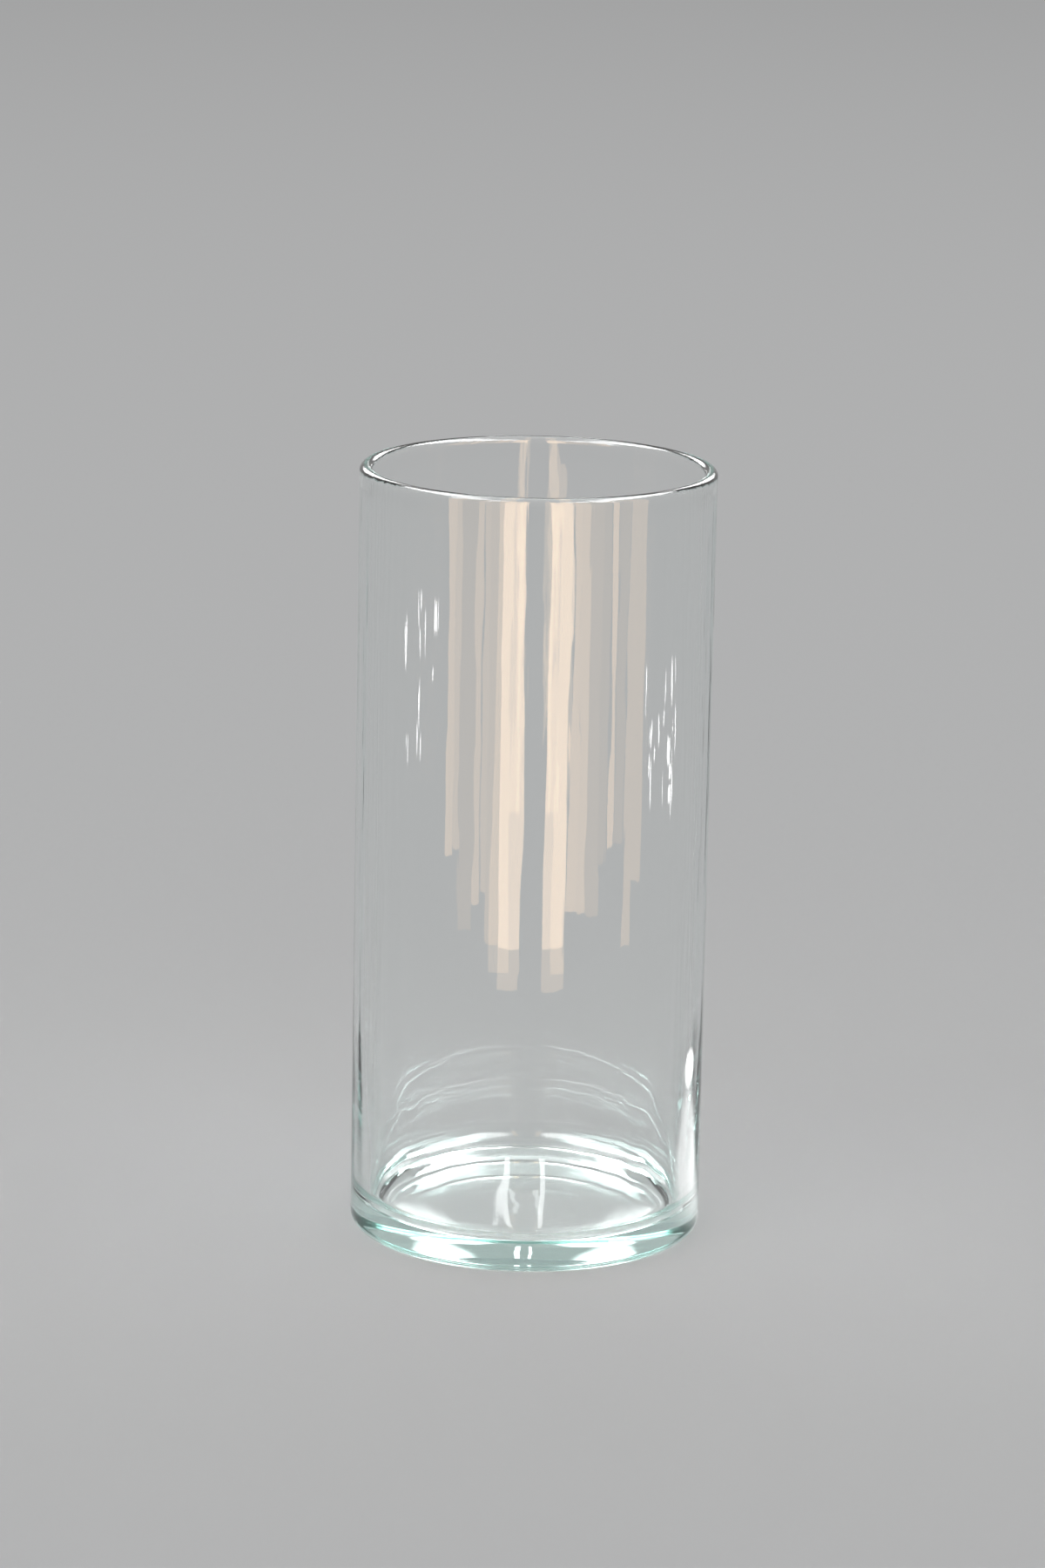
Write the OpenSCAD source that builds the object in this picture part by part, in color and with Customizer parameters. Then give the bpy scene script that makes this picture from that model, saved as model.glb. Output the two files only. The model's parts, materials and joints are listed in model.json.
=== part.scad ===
// Cylinder vase: one piece of clear soda-lime glass, blown into a straight mould.
// The wall thickens towards a heavy base, the lip is fire-polished to a full round
// bead, and the underside is hollowed so that the vase stands on a flat ring.
// Origin at the centre of that ring, on the table. +Z runs up through the mouth.

/* [Overall] */
// Outside diameter of the straight wall
vase_d = 91; // [70:0.5:160]
// Height from the table to the crown of the lip
vase_h = 200; // [120:1:400]

/* [Wall] */
// Thickness of the wall between the taper and the lip
wall_t = 3.3; // [2:0.1:4.4]
// Thickness of the wall where it runs down into the base
foot_wall_t = 4.8; // [4.5:0.1:8]
// Height above the table at which the wall has thinned to its full bore
taper_h = 62; // [35:1:90]

/* [Lip] */
// How far the fire-polished bead stands into the mouth
lip_bead = 0.2; // [0.1:0.1:1.2]
// Height over which the bead runs out into the bore
lip_blend_h = 4.5; // [2:0.5:12]

/* [Base] */
// Thickness of the glass between the table and the inside floor
floor_t = 6.6; // [5:0.1:16]
// Radius of the fillet between the inside floor and the wall
inner_heel_r = 5.5; // [2:0.1:9]
// Radius of the outside edge at the foot of the wall
outer_heel_r = 2.6; // [0.8:0.1:4]
// Width of the flat ring that the vase stands on
foot_ring_w = 7.5; // [3:0.5:14]
// Height of the hollow in the middle of the underside
punt_h = 0.9; // [0.4:0.1:2.5]

/* [Hidden] */
$fn = 192;

glass_tint = [0.80, 0.91, 0.88, 0.45];
past_lip = 1;
full_turn = 360;

// Radii of the outside, of the straight bore and of the cavity at the floor
outer_r = vase_d / 2;
bore_r = outer_r - wall_t;
foot_bore_r = outer_r - foot_wall_t;

// The lip is a full round, as thick as the wall and the bead together
lip_r = (wall_t + lip_bead) / 2;
lip_z = vase_h - lip_r;

// The underside's hollow is a shallow spherical dish inside the foot ring
punt_r = outer_r - outer_heel_r - foot_ring_w;
punt_sphere_r = (punt_r * punt_r + punt_h * punt_h) / (2 * punt_h);

// Centre of the fillet's arc, which runs from the level floor to the foot of the wall
heel_r = foot_bore_r - inner_heel_r;
heel_z = floor_t + inner_heel_r;

// Half outline of the glass as if it were filled up to the lip
module outside_section() {
    difference() {
        union() {
            translate([0, outer_heel_r]) square([outer_r, lip_z - outer_heel_r]);
            square([outer_r - outer_heel_r, lip_z]);
            intersection() {
                translate([outer_r - outer_heel_r, outer_heel_r]) circle(outer_heel_r);
                square([outer_r, outer_heel_r]);
            }
        }
        translate([0, punt_h - punt_sphere_r]) circle(punt_sphere_r);
    }
}

// Half outline of the hollow that holds the stems and the water
module cavity_section() {
    polygon([
        [0, floor_t],
        [heel_r, floor_t],
        [heel_r, heel_z],
        [foot_bore_r, heel_z],
        [bore_r, taper_h],
        [bore_r, lip_z - lip_blend_h],
        [outer_r - 2 * lip_r, lip_z],
        [outer_r - 2 * lip_r, vase_h + past_lip],
        [0, vase_h + past_lip]
    ]);
    intersection() {
        translate([heel_r, heel_z]) circle(inner_heel_r);
        translate([heel_r, floor_t]) square(inner_heel_r);
    }
}

// Upper half of the lip's full round
module lip_section() {
    intersection() {
        translate([outer_r - lip_r, lip_z]) circle(lip_r);
        translate([outer_r - 2 * lip_r, lip_z]) square([2 * lip_r, lip_r]);
    }
}

module vase_body() {
    color(glass_tint)
        rotate_extrude(angle = full_turn) {
            difference() {
                outside_section();
                cavity_section();
            }
            lip_section();
        }
}

vase_body();
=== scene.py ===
"""Cylinder vase in clear soda-lime glass: the finished look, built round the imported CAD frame.

The vase is one piece of glass, so it is one closed mesh, turned from a half outline that has
the thickening foot, the rounded heels, the hollow underside and the fire-polished bead of the
lip. Blown glass is never quite true, and the small waves in it are what break up the
reflections, so they are in the mesh and not only in the material.
"""

import json
import math
import random

import bmesh
import bpy
from mathutils import Matrix, Vector


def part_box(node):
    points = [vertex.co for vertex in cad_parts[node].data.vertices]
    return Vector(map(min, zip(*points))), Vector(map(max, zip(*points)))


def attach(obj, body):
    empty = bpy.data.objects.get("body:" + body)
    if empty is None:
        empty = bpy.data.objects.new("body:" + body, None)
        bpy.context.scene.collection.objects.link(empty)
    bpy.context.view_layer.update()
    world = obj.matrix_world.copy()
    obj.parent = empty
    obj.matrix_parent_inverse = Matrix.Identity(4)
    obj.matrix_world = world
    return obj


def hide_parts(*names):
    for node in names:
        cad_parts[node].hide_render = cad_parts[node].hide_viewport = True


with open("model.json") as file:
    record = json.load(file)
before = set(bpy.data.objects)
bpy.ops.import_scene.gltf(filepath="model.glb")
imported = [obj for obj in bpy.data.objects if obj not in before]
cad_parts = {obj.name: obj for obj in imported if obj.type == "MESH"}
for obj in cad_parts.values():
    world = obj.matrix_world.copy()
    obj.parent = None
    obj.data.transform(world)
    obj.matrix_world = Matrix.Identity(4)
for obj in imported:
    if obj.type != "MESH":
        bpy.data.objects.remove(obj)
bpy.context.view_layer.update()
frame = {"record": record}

MM = 0.001

# The glass, in millimetres. The outside, the height and the bore are the frame's own.
low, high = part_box("vase_body")
outer_r = (high.x - low.x) / 2 / MM
height = (high.z - low.z) / MM
bore = next(m for m in frame["record"]["mounts"] if m["name"] == "mouth_bore")
bore_r = bore["dims"]["r_mm"]
foot_wall = 4.8          # wall where it runs into the base
taper_top = 62.0         # height at which the wall has thinned to the bore
floor_t = 6.6            # glass under the inside floor
inner_heel = 5.5         # fillet between the inside floor and the wall
outer_heel = 2.6         # rounded edge at the foot
foot_ring = 7.5          # width of the flat ring that the vase stands on
punt = 0.9               # height of the hollow underside
lip_bead = 0.2           # how far the bead stands into the mouth
bead_run = 4.5           # height over which the bead runs out

# The waves in it, in millimetres. They die away near the lip, the outside heel and the floor's
# middle, and are smaller where the bore meets the floor.
bore_wave = 0.05         # size of the bore's waves, before the quicker ones are made smaller
skin_wave = 0.0175       # the same for the outside, which the mould holds truer
skin_inset = 0.03        # how far the outside sits under its full radius, to leave its waves room
floor_wave = 0.018       # size of each wave in the inside floor
wave_twist = 0.03        # radians that a wave leans round the vase per millimetre of height
wave_run = 8.0           # distance over which waves grow to their full size
heel_run = 12.0          # the same above the outside heel
skin_true = 4.0          # height under the lip where the outside has no waves
bore_true = 1.0          # height under the lip where the bore has none
foot_share = 0.4         # share of the bore's waves that is left where it meets the floor
foot_run = 30.0          # height over which that share grows to the whole
middle_run = 4.0         # radius over which waves start from the middle of the floor

TURNS = 256              # segments round the vase
ON_AXIS = 1e-6           # radius under which a ring of the outline is a single point
rng = random.Random(9)


# ---------------------------------------------------------------- outline

def smooth(t):
    """0 to 1 with no corner at either end."""
    t = min(max(t, 0.0), 1.0)
    return t * t * (3 - 2 * t)


def steps(start, end, count):
    """count values from just after start to end."""
    return [start + (end - start) * (i + 1) / count for i in range(count)]


def arc(centre_r, centre_z, radius, start, end, count):
    """Points on a quarter or half round, from angle start to end in degrees."""
    turned = [math.radians(a) for a in steps(start, end, count)]
    return [(centre_r + radius * math.cos(a), centre_z + radius * math.sin(a)) for a in turned]


def underside():
    """From the middle of the hollow out to the edge of the foot ring."""
    ring_in = outer_r - outer_heel - foot_ring
    ball = (ring_in ** 2 + punt ** 2) / (2 * punt)
    hollow = [(r, punt - ball + math.sqrt(ball ** 2 - r ** 2)) for r in steps(0, ring_in, 30)]
    return [(0.0, punt)] + hollow + [(r, 0.0) for r in steps(ring_in, outer_r - outer_heel, 4)]


def outside_wall():
    """Up the outside, from the rounded heel to the lip."""
    heel = arc(outer_r - outer_heel, outer_heel, outer_heel, -90, 0, 12)
    lip_z = height - lip_round()
    return heel + [(outer_r, z) for z in steps(outer_heel, lip_z, 96)]


def lip_round():
    """Radius of the lip's full round."""
    return (outer_r - bore_r + lip_bead) / 2


def lip():
    """Over the full round, from the outside into the mouth."""
    return arc(outer_r - lip_round(), height - lip_round(), lip_round(), 0, 180, 20)


def bore_at(z):
    """Radius of the inside wall at a height above the fillet."""
    lean = smooth((z - floor_t) / (taper_top - floor_t))
    wall = outer_r - foot_wall + (bore_r - outer_r + foot_wall) * lean
    bead = smooth(1 - (height - lip_round() - z) / bead_run)
    return wall - lip_bead * bead


def inside_wall():
    """Down the inside, from the lip to the fillet's top."""
    heel_z = floor_t + inner_heel
    return [(bore_at(z), z) for z in steps(height - lip_round(), heel_z, 100)]


def inside_floor():
    """Round the fillet and in to the middle of the floor."""
    heel_z = floor_t + inner_heel
    centre_r = bore_at(heel_z) - inner_heel
    fillet = arc(centre_r, heel_z, inner_heel, 0, -90, 14)
    return fillet + [(r, floor_t) for r in steps(centre_r, 0, 30)]


# ---------------------------------------------------------------- waves in the glass

def any_turn():
    """An angle anywhere in a full turn."""
    return rng.uniform(0, math.tau)


def waves_round(count, fewest, most, size):
    """Waves round the vase. Each has its number of crests, its size, its start and its twist."""
    waves = []
    for _ in range(count):
        crests = rng.randint(fewest, most)
        waves.append((crests, size / math.sqrt(crests), any_turn(), rng.uniform(-wave_twist, wave_twist)))
    return waves


def waves_across(count, slowest, fastest):
    """Waves over the floor. Each has its radians per millimetre, the way it runs and its start."""
    return [(rng.uniform(slowest, fastest), any_turn(), any_turn()) for _ in range(count)]


bore_waves = waves_round(14, 3, 34, bore_wave)
skin_waves = waves_round(8, 3, 16, skin_wave)
floor_waves = waves_across(9, 0.08, 0.26)


def off_radius(waves, turn, z):
    """How far the wall is off its true radius, in millimetres."""
    return sum(size * math.cos(crests * turn + start + twist * z) for crests, size, start, twist in waves)


def off_level(x, y):
    """How far the inside floor is off level, in millimetres."""
    total = 0.0
    for pitch, way, start in floor_waves:
        total += math.cos(pitch * (x * math.cos(way) + y * math.sin(way)) + start)
    return floor_wave * total


def waved(r, z, turn, side):
    """A point of the outline at one turn, moved as the real glass is."""
    x, y = r * math.cos(turn), r * math.sin(turn)
    if side == "outside":
        fade = smooth((z - outer_heel) / heel_run) * smooth((height - skin_true - z) / wave_run)
        r = min(r - skin_inset * fade + off_radius(skin_waves, turn, z) * fade, outer_r)
    elif side == "inside":
        share = foot_share + (1 - foot_share) * smooth((z - floor_t) / foot_run)
        r += smooth((height - bore_true - z) / wave_run) * share * off_radius(bore_waves, turn, z)
    elif side == "floor":
        fade = smooth(r / middle_run) * smooth((outer_r - foot_wall - r) / wave_run)
        z += fade * off_level(x, y)
    return Vector((r * math.cos(turn), r * math.sin(turn), z)) * MM


def turned_glass():
    """The closed mesh: the half outline turned round the vase's axis."""
    sides = {
        "under": underside(), "outside": outside_wall(), "lip": lip(),
        "inside": inside_wall(), "floor": inside_floor()}
    outline = [(r, z, side) for side, points in sides.items() for r, z in points]
    mesh = bmesh.new()
    rings = []
    for r, z, side in outline:
        if r < ON_AXIS:
            rings.append([mesh.verts.new((0, 0, z * MM))])
        else:
            turns = [math.tau * i / TURNS for i in range(TURNS)]
            rings.append([mesh.verts.new(waved(r, z, t, side)) for t in turns])
    for inner, outer in zip(rings, rings[1:]):
        for i in range(TURNS):
            j = (i + 1) % TURNS
            here = [inner[i % len(inner)], outer[i % len(outer)]]
            there = [outer[j % len(outer)], inner[j % len(inner)]]
            mesh.faces.new(list(dict.fromkeys(here + there)))
    bmesh.ops.recalc_face_normals(mesh, faces=mesh.faces)
    data = bpy.data.meshes.new("vase_glass")
    mesh.to_mesh(data)
    mesh.free()
    data.shade_smooth()
    return data


# ---------------------------------------------------------------- finishes

def srgb(code):
    """A linear colour from an sRGB hex code."""
    parts = [int(code[i:i + 2], 16) / 255 for i in (1, 3, 5)]
    return tuple(c / 12.92 if c <= 0.04045 else ((c + 0.055) / 1.055) ** 2.4 for c in parts) + (1.0,)


def add(tree, kind, inputs=None, **settings):
    """Adds one node. A tuple (node, output) in inputs is a link, and anything else a value."""
    node = tree.nodes.new(kind)
    for name, value in settings.items():
        setattr(node, name, value)
    for name, value in (inputs or {}).items():
        if isinstance(value, tuple) and isinstance(value[0], bpy.types.Node):
            tree.links.new(value[0].outputs[value[1]], node.inputs[name])
        else:
            node.inputs[name].default_value = value
    return node


def fresh(name):
    """An empty material and its node tree."""
    material = bpy.data.materials.new(name)
    material.use_nodes = True
    material.node_tree.nodes.clear()
    return material, material.node_tree


def striae(tree, place):
    """Faint upright lines where the glass was drawn out: 4 mm apart, 60 mm long, none near the base."""
    drawn = add(tree, "ShaderNodeMapping", {"Vector": (place, "Object"), "Scale": (1 / 4, 1 / 4, 1 / 60)})
    lines = add(tree, "ShaderNodeTexNoise", {"Vector": (drawn, "Vector"), "Scale": 1 / MM, "Detail": 2.0})
    up = add(tree, "ShaderNodeSeparateXYZ", {"Vector": (place, "Object")})
    on_wall = add(tree, "ShaderNodeMapRange", {
        "Value": (up, "Z"), "From Min": 35 * MM, "From Max": 75 * MM})
    return add(tree, "ShaderNodeBump", {
        "Height": (lines, "Fac"), "Strength": (on_wall, "Result"), "Distance": 0.07 * MM})


def soda_lime_glass():
    """Soda-lime glass, blown and fire-polished: clear, IOR 1.52, sea green where it is thick.

    The haze is the film that wiping leaves, in patches 28 mm across. It softens the reflections
    unevenly, and the drawn lines make them waver.
    """
    material, tree = fresh("soda_lime_glass")
    place = add(tree, "ShaderNodeTexCoord")
    wipe = add(tree, "ShaderNodeTexNoise", {
        "Vector": (place, "Object"), "Scale": 1 / (28 * MM), "Detail": 3.0})
    haze = add(tree, "ShaderNodeMapRange", {
        "Value": (wipe, "Fac"), "From Min": 0.45, "From Max": 0.75, "To Min": 0.004, "To Max": 0.035})
    glass = add(tree, "ShaderNodeBsdfPrincipled", {
        "Base Color": srgb("#FFFFFF"), "IOR": 1.52, "Transmission Weight": 1.0,
        "Roughness": (haze, "Result"), "Normal": (striae(tree, place), "Normal")})
    tint = add(tree, "ShaderNodeVolumeAbsorption", {"Color": srgb("#BCEFE8"), "Density": 7.5})
    add(tree, "ShaderNodeOutputMaterial", {"Surface": (glass, "BSDF"), "Volume": (tint, "Volume")})
    return material


def studio_floor():
    """Matt grey paint, pale and with no shine, so that it mirrors none of the lights."""
    material, tree = fresh("pale_floor")
    paint = add(tree, "ShaderNodeBsdfPrincipled", {
        "Base Color": srgb("#C6C7C8"), "Roughness": 1.0, "Specular IOR Level": 0.0})
    add(tree, "ShaderNodeOutputMaterial", {"Surface": (paint, "BSDF")})
    return material


def glow(name, colour, strength):
    """A lit reflector, as bright at its edges as in its middle."""
    material, tree = fresh(name)
    light = add(tree, "ShaderNodeEmission", {"Color": srgb(colour), "Strength": strength})
    add(tree, "ShaderNodeOutputMaterial", {"Surface": (light, "Emission")})
    return material


def soft_glow(name, width, length, colour, strength):
    """A lit panel that fades to nothing towards its edges."""
    material, tree = fresh(name)
    place = add(tree, "ShaderNodeTexCoord")
    across = add(tree, "ShaderNodeMapping", {
        "Vector": (place, "Object"), "Scale": (2 / width, 2 / length, 1)})
    out = add(tree, "ShaderNodeVectorMath", {"Vector": (across, "Vector")}, operation="LENGTH")
    fade = add(tree, "ShaderNodeMapRange", {
        "Value": (out, "Value"), "From Min": 0.45, "From Max": 1.0, "To Min": strength, "To Max": 0.0},
        interpolation_type="SMOOTHSTEP")
    light = add(tree, "ShaderNodeEmission", {"Color": srgb(colour), "Strength": (fade, "Result")})
    clear = add(tree, "ShaderNodeBsdfTransparent")
    both = add(tree, "ShaderNodeAddShader")
    tree.links.new(light.outputs["Emission"], both.inputs[0])
    tree.links.new(clear.outputs["BSDF"], both.inputs[1])
    add(tree, "ShaderNodeOutputMaterial", {"Surface": (both, "Shader")})
    return material


# ---------------------------------------------------------------- the vase

vase = bpy.data.objects.new("vase_glass", turned_glass())
bpy.context.scene.collection.objects.link(vase)
vase.data.materials.append(soda_lime_glass())
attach(vase, "root")
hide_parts("vase_body")


# ---------------------------------------------------------------- studio, in metres

CREAM = "#FFDDB8"
BEIGE = "#E6C39C"


def flat_panel(name, width, tall, material):
    """A flat rectangle, facing along its own +Z, centred on its origin."""
    data = bpy.data.meshes.new(name)
    x, y = width / 2, tall / 2
    data.from_pydata([(-x, -y, 0), (x, -y, 0), (x, y, 0), (-x, y, 0)], [], [(0, 1, 2, 3)])
    data.materials.append(material)
    panel = bpy.data.objects.new(name, data)
    bpy.context.scene.collection.objects.link(panel)
    return panel


def facing(thing, place, target, front="Z"):
    """Puts thing at place, with its front axis towards target."""
    thing.location = place
    thing.rotation_euler = (Vector(target) - Vector(place)).to_track_quat(front, "Y").to_euler()


def only_in_glass(panel):
    """Leaves a panel to show in the glass and nowhere else."""
    panel.visible_camera = False
    panel.visible_diffuse = False
    panel.visible_shadow = False


def only_mirrored(panel):
    """Hides a panel from light that comes out through the glass, so only the outside mirrors it."""
    panel.visible_transmission = False


def only_through(panel):
    """Hides a panel from the outside's mirroring, so it shows only in light that came through."""
    panel.visible_glossy = False


def stand(panel, azimuth, distance, middle):
    """Stands a panel up, facing the vase. Azimuth is in degrees, 0 in front and 90 on the right."""
    turn = math.radians(azimuth)
    panel.location = (distance * math.sin(turn), -distance * math.cos(turn), middle)
    panel.rotation_euler = (math.radians(90), 0, turn)
    only_in_glass(panel)


def standing(name, azimuth, distance, bottom, width, tall, colour, strength):
    """An upright reflector beside the vase."""
    panel = flat_panel(name, width, tall, glow(name, colour, strength))
    stand(panel, azimuth, distance, bottom + tall / 2)
    return panel


def cream_reflector(name, azimuth, width, strength, foot_strength):
    """A tall cream reflector in front of the vase, with a dimmer foot."""
    away, off_ground = 0.29, 0.005
    foot, tall = 0.013, 0.50
    only_mirrored(standing(name, azimuth, away, off_ground + foot, width, tall, CREAM, strength))
    only_mirrored(standing(f"{name}_foot", azimuth, away, off_ground, width, foot, CREAM, foot_strength))


def gleam(name, azimuth, distance, middle, width, tall, strength):
    """An upright patch of white light beside the vase, with its middle at a height."""
    panel = flat_panel(name, width, tall, soft_glow(name, width, tall, "#FFFFFF", strength))
    stand(panel, azimuth, distance, middle)
    return panel


def curtain(name, start, end, folds, distance, width, tall, colour, strength):
    """Narrow reflectors side by side, unevenly lit and hung, as the folds of a curtain are."""
    for i in range(folds):
        azimuth = start + (end - start) * (i + 0.5) / folds
        place = distance * rng.uniform(0.85, 1.2)
        fold = width * rng.uniform(0.5, 1.1)
        lit = strength * rng.uniform(0.35, 1.2)
        only_mirrored(standing(f"{name}_{i}", azimuth, place, 0.0, fold, tall, colour, lit))


def chinks(name, azimuth, spread, distance, bottom, rise, count, strength):
    """Small bright gaps at random places, each a narrow upright dash."""
    for i in range(count):
        turn = azimuth + spread * rng.uniform(-1, 1)
        middle = bottom + rise * rng.random()
        width = rng.uniform(0.004, 0.010)
        tall = rng.uniform(0.006, 0.020)
        only_mirrored(gleam(f"{name}_{i}", turn, distance, middle, width, tall, strength))


def level(name, place, turn, width, length, strength):
    """A lit panel that lies level. At a turn of 0 its length runs from front to back."""
    panel = flat_panel(name, width, length, soft_glow(name, width, length, "#FFFFFF", strength))
    panel.location = place
    panel.rotation_euler.z = math.radians(turn)
    only_in_glass(panel)
    return panel


def hanging(name, azimuth, elevation, distance, width, tall, strength):
    """A lit panel over the vase that faces it."""
    panel = flat_panel(name, width, tall, soft_glow(name, width, tall, "#FFFFFF", strength))
    turn, lift = math.radians(azimuth), math.radians(elevation)
    out = distance * math.cos(lift)
    middle = Vector((0, 0, height * MM / 2))
    place = middle + Vector((out * math.sin(turn), -out * math.cos(turn), distance * math.sin(lift)))
    facing(panel, place, middle)
    only_in_glass(panel)


def softbox(name, place, target, size, power):
    """A square soft light."""
    data = bpy.data.lights.new(name, "AREA")
    data.size = size
    data.energy = power
    lamp = bpy.data.objects.new(name, data)
    bpy.context.scene.collection.objects.link(lamp)
    facing(lamp, place, target, front="-Z")


ground = flat_panel("floor", 12, 12, studio_floor())
ground.location.z = -0.1 * MM

# In front: two cream reflectors with a gap between them, and a beige curtain on either side
cream_reflector("cream_left", -12.8, 0.070, 8.4, 3.4)
cream_reflector("cream_right", 14.6, 0.064, 8.0, 3.2)
curtain("beige_left", -20, -56, 6, 0.42, 0.060, 0.60, BEIGE, 5.8)
curtain("beige_right", 22, 70, 8, 0.40, 0.060, 0.60, BEIGE, 5.8)

# Close in front: two slim strips that the back wall mirrors inside the mouth
only_through(standing("strip_left", -14, 0.066, 0.072, 0.009, 0.14, CREAM, 3.2))
only_through(standing("strip_right", 13, 0.066, 0.072, 0.007, 0.14, CREAM, 3.2))

# At the sides: chinks of daylight, and the lit patches that the right edge mirrors
chinks("chink_left", -76, 14, 0.34, 0.060, 0.050, 14, 18.0)
chinks("chink_right", 84, 15, 0.33, 0.040, 0.050, 22, 18.0)
only_mirrored(gleam("edge_gleam", 119, 0.153, 0.0085, 0.044, 0.013, 9.0))
only_mirrored(level("lit_ground", (0.100, 0.040, 0.0005), -45, 0.060, 0.16, 2.6))

# Behind: two upright slits that the inside floor mirrors
standing("slit_left", 181.25, 0.9, 0.2, 0.009, 0.2, "#FFFFFF", 2.8)
standing("slit_right", 178.8, 0.9, 0.2, 0.016, 0.2, "#FFFFFF", 2.8)

# Overhead: the lights that whiten the lip, the heel and the base
level("ceiling_left", (-0.75, 0.3, 1.4), 0, 0.9, 2.2, 12.0)
level("ceiling_right", (0.75, 0.3, 1.4), 0, 0.9, 2.2, 12.0)
hanging("window_left", -40, 42, 1.3, 1.1, 1.0, 14.0)
hanging("window_right", 42, 46, 1.3, 1.1, 0.9, 14.0)
hanging("back_left", -160, 26, 1.3, 0.55, 0.75, 7.0)
hanging("back_right", 160, 26, 1.3, 0.55, 0.75, 7.0)

softbox("overhead", (0.2, 0.9, 3.0), (0.2, 0.9, 0), 3.6, 30)
softbox("key", (-0.9, -1.0, 1.5), (0, 0, 0.1), 0.9, 3)


def sky():
    """Even soft light from all round."""
    world = bpy.data.worlds.new("studio")
    world.use_nodes = True
    tree = world.node_tree
    tree.nodes.clear()
    light = add(tree, "ShaderNodeBackground", {"Color": srgb("#FFFEFD"), "Strength": 0.52})
    add(tree, "ShaderNodeOutputWorld", {"Surface": (light, "Background")})
    bpy.context.scene.world = world


sky()

# Camera: far enough for a natural view, a little above the lip, held almost level
VIEW_DISTANCE = 1.433
VIEW_ELEVATION = math.radians(14.33)
VIEW_PITCH = math.radians(13.67)
VIEW_YAW = math.radians(-0.108)
VIEW_ROLL = math.radians(1.118)


def camera():
    data = bpy.data.cameras.new("camera")
    data.sensor_width = 36
    data.lens = 127.7
    cam = bpy.data.objects.new("camera", data)
    bpy.context.scene.collection.objects.link(cam)
    middle = height * MM / 2
    ahead = Vector((math.sin(VIEW_YAW) * math.cos(VIEW_PITCH), math.cos(VIEW_YAW) * math.cos(VIEW_PITCH),
                    -math.sin(VIEW_PITCH)))
    right = ahead.cross(Vector((0, 0, 1))).normalized()
    above = right.cross(ahead)
    side = right * math.cos(VIEW_ROLL) + above * math.sin(VIEW_ROLL)
    top = above * math.cos(VIEW_ROLL) - right * math.sin(VIEW_ROLL)
    out, up = VIEW_DISTANCE * math.cos(VIEW_ELEVATION), VIEW_DISTANCE * math.sin(VIEW_ELEVATION)
    place = Vector((0, -out, middle + up))
    turn = Matrix((side, top, -ahead)).transposed().to_4x4()
    cam.matrix_world = Matrix.Translation(place) @ turn
    bpy.context.scene.camera = cam


camera()

settings = bpy.context.scene.cycles
settings.max_bounces = 32
settings.transmission_bounces = 32
settings.glossy_bounces = 24
bpy.context.scene.view_settings.view_transform = "Standard"
